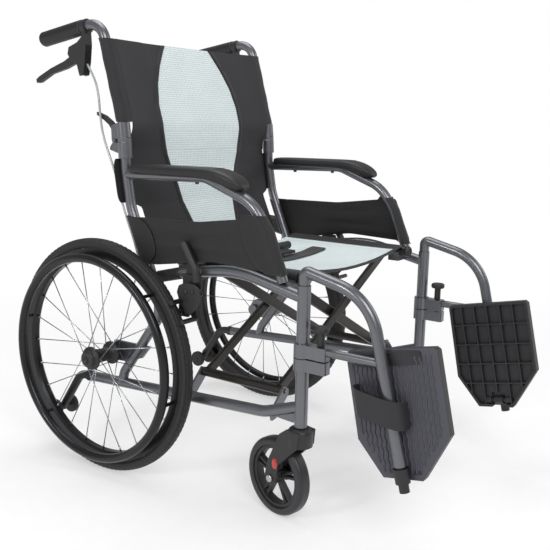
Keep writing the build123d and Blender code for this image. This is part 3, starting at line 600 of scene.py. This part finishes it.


# %% [markdown]
# ## Brake cables
# The cable runs from the handle brake down behind the back, past the fold, to the parking brake. It
# is one smooth spline, read back as points and given a round section.

# %% Brake cables
CABLE_ROUTE = [(257, 70.5, 866), (259, 47, 838), (262, 33, 803), (263, 29, 762), (263.4, 22, 722),
               (263.8, 4, 682), (264, -16, 640), (263, -27, 596), (262, -44, 550), (263, -66, 504),
               (265, -84, 458), (268, -101, 418), (273, -136, 391), (277, -168, 381), (277.5, -195, 379)]


def spline_points(route):
    curve = bpy.data.curves.new("line", "CURVE")
    curve.dimensions = "3D"
    spline = curve.splines.new("NURBS")
    spline.points.add(len(route) - 1)
    for point, spot in zip(spline.points, route):
        point.co = (*spot, 1)
    spline.order_u = 3
    spline.use_endpoint_u = True
    spline.resolution_u = 8
    line = bpy.data.objects.new("line", curve)
    bpy.context.scene.collection.objects.link(line)
    bpy.context.view_layer.update()
    mesh = bpy.data.meshes.new_from_object(line)
    points = [v.co.copy() for v in mesh.vertices]
    bpy.data.objects.remove(line)
    return points


for side, sign in SIDES.items():
    line = spline_points([place(sign * x, y, z) for x, y, z in CABLE_ROUTE])
    cable = tube_piece(f"{side}_cable_sheath", line, 2.4, sheath, 12)
    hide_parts(f"{side}_brake_cable")
    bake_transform(cable)
print("cable points", len(line))


# %% [markdown]
# ## The back sling
# Dark nylon panels carry a knitted centre shaped like an hourglass, with a black piped seam between.
# One grid holds all three: its columns follow the seam, and each column has its own finish. It is
# It is cut at the back's fold, which leaves a short strip there.

# %% Where the canes stand
LOWER_CANE = [(436, -108), (575, -50), (650, -37), (706, -33.8)]
UPPER_CANE = [(716, -33.2), (748, -29.5), (950.5, 27.7)]
CENTRE_HALF = [(486, 74), (518, 79), (560, 90), (615, 104), (680, 130), (735, 141), (785, 142),
               (830, 131), (870, 111), (917, 80)]


def cane_y(z):
    return along_table(LOWER_CANE + UPPER_CANE, z)


def back_depth(x, z):
    """How far behind or before the canes' line the cloth lies at x, z."""
    centre = along_table([(486, 2), (600, 3), (700, 2), (915, 3)], z)
    edge = blend_table([(486, 4), (560, 6), (690, 9), (745, -12.3), (917, -12.3)], z)
    share = min(1.0, abs(x) / 240) ** 3
    fold = 1.1 * math.sin(z * 0.021 + x * 0.013) * math.sin(x * 0.031 + 1.0) * (1 - share)
    return centre + (edge - centre) * share + fold


def back_half(z):
    """Half width of the cloth between the canes: it narrows below the arm rests."""
    return blend_table([(486, 219), (570, 219), (582, 239), (917, 239)], z)


# %% Back panels
def back_columns(z, half):
    centre = along_table(CENTRE_HALF, z)
    seam = [(-5.5, 0), (-3.2, -2.6), (0, -3.6), (3.2, -2.6), (5.5, 0)]
    outer = [(-half + (half - centre - 5.5) * i / 12, 0) for i in range(12)]
    left = outer + [(-centre + u, bulge) for u, bulge in seam]
    middle = [((-centre + 5.5) * (1 - i / 10), 0) for i in range(1, 10)]
    half_row = left + middle
    return half_row + [(0, 0)] + [(-x, bulge) for x, bulge in reversed(half_row)]


SEAM_FINISH = [0] * 12 + [2] * 4 + [1] * 10
BACK_FINISH = SEAM_FINISH + SEAM_FINISH[::-1]


def back_rows(heights, keep=lambda x: True):
    rows = []
    for z in heights:
        lift = 0.9 * math.sin(z * 0.4) if z > 912 else 0
        rows.append([place(x, cane_y(z) + back_depth(x, z) + bulge, z - (abs(x) < 150) * lift)
                     for x, bulge in back_columns(z, back_half(z)) if keep(x)])
    return rows


TOP_EDGE = [909, 912, 915, 917]
panels = {
    "back_panel_lower": (steps_between(487, 690, 44), "right_frame", "back_sling_lower"),
    "back_panel_upper": (steps_between(732, 905, 40) + TOP_EDGE, "right_upper_back", "back_sling_upper"),
}
for name, (heights, body, node_name) in panels.items():
    panel = sheet_piece(name, back_rows(heights), [sling_nylon, spacer_knit, piping], 1.8,
                        BACK_FINISH, smoothing=0)
    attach(panel, body)
    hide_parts(node_name)
    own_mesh(panel)
for side, sign in SIDES.items():
    rows = back_rows(steps_between(690, 732, 11), lambda x: x * sign >= 0)
    finish = SEAM_FINISH if sign < 0 else SEAM_FINISH[::-1]
    strip = sheet_piece(f"{side}_back_fold_strip", rows, [sling_nylon, spacer_knit, piping], 1.8,
                        finish, smoothing=0)
    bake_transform(strip)
print("back panels", len(panels))


# %% [markdown]
# ## Cane sleeves and rear flaps
# Above the fold the cloth is a pocket that slides over the cane. Below it the cloth passes behind
# the cane and ends in a short flap.

# %% Sleeves and flaps
for side, sign in SIDES.items():
    rows = []
    for z in steps_between(749, 917, 18):
        y = cane_y(z)
        row = [place(sign * 236.5, y - 11.9, z), place(sign * 246, y - 12.8, z)]
        pucker = 12.9 + 0.5 * math.sin(z * 0.11) + 0.35 * math.sin(z * 0.31)
        for k in range(12):
            t = math.radians(-90 + 24 * k)
            row.append(place(sign * (FRAME_X + pucker * math.cos(t)), y + pucker * math.sin(t), z))
        row.append(place(sign * 240, y + 1, z))
        rows.append(row)
    sleeve = sheet_piece(f"{side}_cane_sleeve", rows, [sling_nylon], 1.2)
    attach(sleeve, f"{side}_upper_back")
    rows = []
    for z in steps_between(583, 674, 12):
        y, reach = cane_y(z), 277 - 5 * math.exp(-(674 - z) / 6) - 6 * math.exp(-(z - 583) / 5)
        rows.append([place(sign * x, y + 12.6 + (0 if x > 246 else -(246 - x) * 0.5), z)
                     for x in steps_between(238.5, reach, 9)])
    flap = sheet_piece(f"{side}_rear_flap", rows, [sling_nylon], 1.6)
    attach(flap, f"{side}_frame")
print("sleeves from 749 to 917 mm")


# %% [markdown]
# ## The seat sling
# The seat hangs between two rails and sags 23 mm in the middle. Its centre is the same knit, its
# sides are nylon that lies over the rails. As the chair folds, one rail rises and the other
# follows its own brace.

# %% Seat
SEAT_TOP, SEAT_SAG, RAIL_X, RAIL_Z = 481.0, 23.0, 214.0, 468.0


def seat_row(y):
    hem = 1.2 if y < -440 or y > -156 else 0.0
    row = []
    for x in [-206, -190, -176, -170, -130, -85, -42, 0, 42, 85, 130, 170, 176, 190, 206]:
        dip = SEAT_SAG * (1 - (x / RAIL_X) ** 2) * (1 - 0.10 * math.exp(-((y + 448) / 60) ** 2))
        row.append(place(x, y, SEAT_TOP - dip + hem))
    wraps = []
    for angle in (86, 60, 35, 12, -8):
        t = math.radians(angle)
        wraps.append((RAIL_X + 12.6 * math.cos(t), RAIL_Z + 12.6 * math.sin(t)))
    left = [place(-x, y, z) for x, z in reversed(wraps)]
    return left + row + [place(x, y, z) for x, z in wraps]


heights = [-448.5, -447, -440, -436] + steps_between(-425, -165, 16) + [-156, -151]
columns = [0] * 7 + [1] * 10 + [0] * 7
seat = sheet_piece("seat_panel", [seat_row(y) for y in heights], [sling_nylon, spacer_knit], 2.4, columns)
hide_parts("seat_sling")
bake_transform(seat)
hem_line = [p + Vector((0, -0.0008, 0.0002)) for p in seat_row(-448)[5:20]]
hem = tube_piece("seat_front_binding", hem_line, 3.2, piping, 10)
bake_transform(hem)
print("seat rows", len(heights))


# %% [markdown]
# ## Lap belt
# The belt lies rolled up on the seat: a flat webbing, a roll and a side-release buckle.

# %% Lap belt
def on_seat(x, y, lift):
    return place(x, y, SEAT_TOP - SEAT_SAG * (1 - (x / RAIL_X) ** 2) + lift)


belt_rows = [[on_seat(x, y, 4.2 + 0.8 * math.sin(x * 0.07)) for y in steps_between(-303, -264, 5)]
             for x in steps_between(-119, 119, 24)]
belt = sheet_piece("belt_webbing", belt_rows, [webbing], 2.0)
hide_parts("lap_belt")
coil = []
for x in steps_between(-58, 58, 10):
    coil.append([place(x, -236 + (3 + 0.48 * k) * math.cos(k * 0.7),
                       479 + (3 + 0.48 * k) * math.sin(k * 0.7)) for k in range(17)])
roll = sheet_piece("belt_roll", coil, [webbing], 1.6)
BUCKLE_OUTLINE = [(-277, 28), (-277, -20), (-270, -29), (-246, -29), (-239, -20), (-239, 28)]
buckle = plate_piece("belt_buckle", BUCKLE_OUTLINE, 468, 474.5, black_nylon, 1.6,
                     lift=lambda u, v, x: place(v, u, x))
for item in (belt, roll, buckle):
    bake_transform(item)
print("belt pieces", 3)


# %% [markdown]
# ## Clothing guards
# A nylon panel stretches from the cane to the front slope of the arm tube, with pull creases along
# it. At both ends a piped flap wraps the tube and closes with hook and loop.

# %% Guard panels
TOP_LINE = [(-447, 581), (-412, 583), (-388, 581), (-240, 561), (-88, 558), (-54, 552)]
LOW_LINE = [(-447, 486), (-424, 482), (-278, 487), (-127, 463), (-106, 466)]


def front_tube(z):
    return along_table([(464, -439), (560, -400), (606, -365)], z)


def guard_point(u, v, sign):
    """u from front 0 to back 1, v from bottom 0 to top 1."""
    low_y, high_y = -441 + 335 * u, -398 + 344 * u
    low = along_table(LOW_LINE, low_y)
    high = along_table(TOP_LINE, high_y)
    y, z = low_y + (high_y - low_y) * v, low + (high - low) * v
    slack = math.sin(math.pi * u)
    crease = 1.5 * math.sin(16 * v + 3.5 * u + 1.2 * math.sin(5 * u)) + 0.8 * math.sin(31 * v - 6 * u)
    return place(sign * (268.6 + slack * crease * 0.8), y, z)


def flap_rows(sign, middle, low, high, reach, ahead):
    """A flap round a tube: middle(z) is the tube's y, ahead is 1 if its free edge points forward."""
    rows = []
    for z in steps_between(low, high, 14):
        share = (z - low) / (high - low)
        edge = reach * (1 - 0.55 * (1 - share) ** 6 - 0.5 * share ** 8)
        y, row = middle(z), []
        for u in steps_between(1, 0, 6)[:-1]:
            row.append(place(sign * 271.6, y - ahead * edge * u, z))
        for k in range(8):
            t = math.radians(25 * k)
            row.append(place(sign * (FRAME_X + 1.6 + 13.6 * math.cos(t)),
                             y + ahead * 13.6 * math.sin(t), z))
        rows.append(row)
    return rows


for side, sign in SIDES.items():
    rows = [[guard_point(u, v, sign) for u in steps_between(0, 1, 26)] for v in steps_between(0, 1, 14)]
    guard = sheet_piece(f"{side}_guard_panel", rows, [guard_nylon], 1.6)
    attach(guard, f"{side}_frame")
    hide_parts(f"{side}_skirt_guard")
    for label, middle, reach, ahead in (("rear", cane_y, 52, 1), ("front", front_tube, 50, -1)):
        rows = flap_rows(sign, middle, 470 if ahead > 0 else 480, 556 if ahead > 0 else 584, reach, ahead)
        flap = sheet_piece(f"{side}_guard_{label}_flap", rows, [guard_nylon], 1.5)
        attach(flap, f"{side}_frame")
        rim = [row[0] for row in rows] + rows[-1][1:9]
        rim = rows[0][8:0:-1] + rim
        bead = tube_piece(f"{side}_guard_{label}_piping", rim, 1.5, piping, 8)
        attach(bead, f"{side}_frame")
print("guard flaps", 4)


# %% [markdown]
# ## Footplates
# The near face of each folded plate is its tread: wavy ribs across a sunk panel, inside a smooth
# bevelled border. The ribs are real raised lines, 2 mm wide and 9 mm apart.

# %% Footplate treads
PLATE_OUTLINE = [(-87, 56), (-46, -13), (32, -15), (94, 66), (92, 214), (86, 219), (-80, 219), (-86, 213)]
LEAN = math.radians(12)
HANGER_END, HANGER_BEND = Vector((0, -692.5, 173)), Vector((0, -620.6, 460.5))
post_line = (HANGER_END - HANGER_BEND).normalized()
hinge_at = HANGER_END + post_line * ((173 - 158) / -post_line.z)


def on_plate(u, v, out, sign):
    """u forward along the hinge, v up the plate, out towards the outboard face, in mm."""
    y = hinge_at.y - u * math.cos(LEAN) + v * math.sin(LEAN)
    z = hinge_at.z + u * math.sin(LEAN) + v * math.cos(LEAN)
    return y, z, sign * (FRAME_X - 23 + out)


def plate_spot(u, v, out, sign):
    y, z, x = on_plate(u, v, out, sign)
    return place(x, y, z)


def inside_plate(u, v, margin):
    n = len(PLATE_OUTLINE)
    for i in range(n):
        (a, b), (c, d) = PLATE_OUTLINE[i], PLATE_OUTLINE[(i + 1) % n]
        length = math.hypot(c - a, d - b)
        if ((c - a) * (v - b) - (d - b) * (u - a)) / length < margin:
            return False
    return True


for side, sign in SIDES.items():
    shell = plate_piece(f"{side}_plate_border", PLATE_OUTLINE, 6.0, 8.0, plate_grey, 1.2,
                        lift=lambda u, v, x: plate_spot(u, v, x, sign))
    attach(shell, f"{side}_footplate")
    ribs = []
    for i in range(19):
        u0, line = -76 + i * 9, []
        for k in range(70):
            v = -8 + k * 3.2
            u = u0 + 1.3 * math.sin(v * 0.30 + i * 0.9)
            if inside_plate(u, v, 11):
                line.append(plate_spot(u, v, 8.2, sign))
        if len(line) > 4:
            ribs.append(tube_piece("rib", line, 1.9, plate_grey, 6))
    merged(f"{side}_plate_ribs", ribs, f"{side}_footplate")
print("ribs", len(ribs))


# %% [markdown]
# ## Heel straps
# A wide webbing loop keeps the heel on the plate. It leaves the plate's rear edge, passes outboard of
# the hanger tube and comes back to the front edge, dipping as it goes.

# %% Heel straps
LOOP = [(-66, 9.0), (-70, 26), (-64, 39), (-45, 43.5), (-20, 44), (2, 43.5), (16, 39), (23, 27), (24, 9.5)]
for side, sign in SIDES.items():
    rows = []
    for u, out in LOOP:
        dip = 120 - (u + 20) * 0.34
        rows.append([plate_spot(u, dip + w, out, sign) for w in steps_between(-25, 25, 6)])
    strap = sheet_piece(f"{side}_heel_loop", rows, [webbing], 1.8)
    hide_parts(f"{side}_heel_strap")
    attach(strap, f"{side}_footplate")
    top_rows = [[plate_spot(u, 203 + w + 2 * math.sin(u * 0.05),
                            10.5 + 2.5 * math.sin(u * 0.09 + w * 0.06), sign)
                 for w in steps_between(-12, 12, 4)] for u in steps_between(-70, 62, 16)]
    top = sheet_piece(f"{side}_top_strap", top_rows, [webbing], 1.8)
    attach(top, f"{side}_footplate")
print("heel loops", 2)


# %% [markdown]
# ## Small hardware
# Screw heads, rail end caps and a red safety reflector on each fork finish the metalwork. They are
# turned buttons and bevelled ovals, pressed a little into what they sit on.

# %% Reflectors, screws and end caps
def button(name, centre, along, radius, height, finish):
    """A domed screw head standing on a point."""
    tall = Vector(along).normalized() * height / 1000
    line = [centre - tall * 0.5, centre + tall * 0.7, centre + tall * 0.95, centre + tall]
    obj = tube_piece(name, line, radius, finish, 20)
    for ring, scale in ((2, 0.82), (3, 0.45)):
        for k in range(20):
            vertex = obj.data.vertices[ring * 20 + k]
            vertex.co = line[ring] + (vertex.co - line[ring]) * scale
    return obj


CASTER_TURN, TRAIL, CASTER_Z = math.radians(13), 58.0, 78.0
BRAKE_COVER = [(-262, 434), (-250, 441), (-224, 441), (-209, 434), (-204, 420), (-212, 399), (-226, 380),
               (-241, 378), (-254, 392), (-265, 416)]
for side, sign in SIDES.items():
    out = Vector((sign * math.cos(CASTER_TURN), math.sin(CASTER_TURN), 0))
    back = Vector((-sign * math.sin(CASTER_TURN), math.cos(CASTER_TURN), 0))
    stem = place(sign * FRAME_X, -485, 0)
    eye = stem + back * 0.045 + out * 0.0232 + Vector((0, 0, 0.112))
    ring = [eye + (back * math.cos(t) * 0.0075 + Vector((0, 0, 1)) * math.sin(t) * 0.0115)
            for t in (2 * math.pi * k / 28 for k in range(28))]
    lens = [p + out * 0.0016 - (p - eye) * 0.12 for p in ring]
    lens += [p + out * 0.0024 - (p - eye) * 0.5 for p in ring]
    faces = grid_faces(3, 28, True) + [tuple(range(56, 84))]
    oval = new_piece(f"{side}_reflector", [p - out * 0.0006 for p in ring] + lens, faces, [reflector_red])
    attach(oval, f"{side}_caster")
    axle_spot = stem + back * TRAIL / 1000 + Vector((0, 0, CASTER_Z / 1000))
    bolts = [button("bolt", axle_spot + out * s * 0.0235, out * s, 7.5, 4, zinc_steel) for s in (1, -1)]
    merged(f"{side}_caster_bolts", bolts, f"{side}_caster")
    screws = [button("screw", place(sign * 287.5, y, z), (sign, 0, 0), 5, 2.5, black_nylon)
              for y, z in ((-228, 423), (-245, 425))]
    merged(f"{side}_brake_screws", screws, f"{side}_frame")
    pads = [button("screw", place(sign * FRAME_X, y, z - 10.2), (0, 0, -1), 4, 4, black_nylon)
            for y, z in ((-120, 644), (-230, 647.5))]
    merged(f"{side}_pad_screws", pads, f"{side}_frame")
    cover = plate_piece(f"{side}_brake_cover", BRAKE_COVER, sign * 282, sign * 287.5, black_nylon, 2.2)
    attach(cover, f"{side}_frame")
    wrap = tube_piece(f"{side}_rail_wrap", [place(sign * FRAME_X, y, 430 + (-102 - y) * 0.25) for y in
                                            steps_between(-128, -190, 14)], 12.4, guard_nylon, 24)
    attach(wrap, f"{side}_frame")
    ring = []
    for z in (707.7, 710.5, 713.5, 716.6):
        ring.append([place(sign * (FRAME_X + 13.4 * math.cos(t)), -33.6 + 13.4 * math.sin(t), z)
                     for t in (math.radians(a) for a in range(150, 391, 15))])
    socket = sheet_piece(f"{side}_hinge_collar", ring, [gunmetal], 2.2, smoothing=0)
    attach(socket, f"{side}_upper_back")
    brace = "brace_a" if sign > 0 else "brace_b"
    route = [place(sign * RAIL_X, y, RAIL_Z) for y in (-458, -464, -468, -470)]
    cap = tube_piece(f"{side}_rail_cap", route, 12, black_nylon, 24)
    for k in range(24):
        for ringed, scale in ((2, 0.9), (3, 0.6)):
            vertex = cap.data.vertices[ringed * 24 + k]
            middle = place(sign * RAIL_X, (-468, -470)[ringed - 2], RAIL_Z)
            vertex.co = middle + (vertex.co - middle) * scale
    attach(cap, brace)
print("hardware done")


# %% [markdown]
# ## Studio
# A pale floor that fades into an even white surround, a large soft key light, a fill and a strip that
# draws bright lines down the tubes.

# %% Floor, surround and lights
def stage_finish():
    finish, tree, shader = new_finish("studio_floor", Roughness=0.9)
    spot = add(tree, "ShaderNodeTexCoord").outputs["Object"]
    grain = add(tree, "ShaderNodeTexNoise", {"Scale": 30.0}, {"Vector": spot})
    colour = add(tree, "ShaderNodeMix", {"A": linear("#f8f8f8"), "B": linear("#ffffff")},
                 {"Factor": grain.outputs["Fac"]}, data_type="RGBA")
    tree.links.new(colour.outputs["Result"], shader.inputs["Base Color"])
    glow = add(tree, "ShaderNodeEmission", {"Color": (1, 1, 1, 1), "Strength": 1.0})
    distance = add(tree, "ShaderNodeVectorMath", None, {0: spot}, operation="LENGTH")
    share = add(tree, "ShaderNodeMapRange", {"From Min": 0.5, "From Max": 2.2, "To Min": 0.45},
                {"Value": distance.outputs["Value"]}, interpolation_type="SMOOTHSTEP")
    mix = add(tree, "ShaderNodeMixShader", None, {0: share.outputs["Result"],
                                                  1: shader.outputs["BSDF"], 2: glow.outputs["Emission"]})
    tree.links.new(mix.outputs["Shader"], tree.nodes["Material Output"].inputs["Surface"])
    return finish


floor = new_piece("studio_floor", [(-30, -30, -0.0005), (30, -30, -0.0005), (30, 30, -0.0005),
                                   (-30, 30, -0.0005)], [(0, 1, 2, 3)], [stage_finish()], smooth=False)
world = bpy.data.worlds.new("studio")
bpy.context.scene.world = world
world.use_nodes = True
sky = world.node_tree.nodes["Background"]
sky.inputs["Color"].default_value = (1, 1, 1, 1)
seen = add(world.node_tree, "ShaderNodeLightPath").outputs["Is Camera Ray"]
level = add(world.node_tree, "ShaderNodeMapRange", {"To Min": 0.42, "To Max": 1.0}, {"Value": seen})
world.node_tree.links.new(level.outputs["Result"], sky.inputs["Strength"])
LIGHTS = {
    "key": ((-2.4, -2.6, 3.0), 2.0, 75),
    "fill": ((2.6, -2.4, 2.2), 2.0, 25),
    "top": ((0.2, 0.6, 3.4), 2.2, 45),
    "strip": ((-3.2, 0.6, 1.6), 0.5, 25),
}
for name, (spot, size, power) in LIGHTS.items():
    lamp = bpy.data.lights.new(name, "AREA")
    lamp.shape, lamp.size, lamp.energy = "SQUARE", size, power
    obj = bpy.data.objects.new(name, lamp)
    obj.location = spot
    obj.rotation_euler = (Vector((0, 0, 0.45)) - Vector(spot)).to_track_quat("-Z", "Y").to_euler()
    bpy.context.scene.collection.objects.link(obj)
bpy.context.scene.view_settings.view_transform = "Standard"
print("lights", list(LIGHTS))
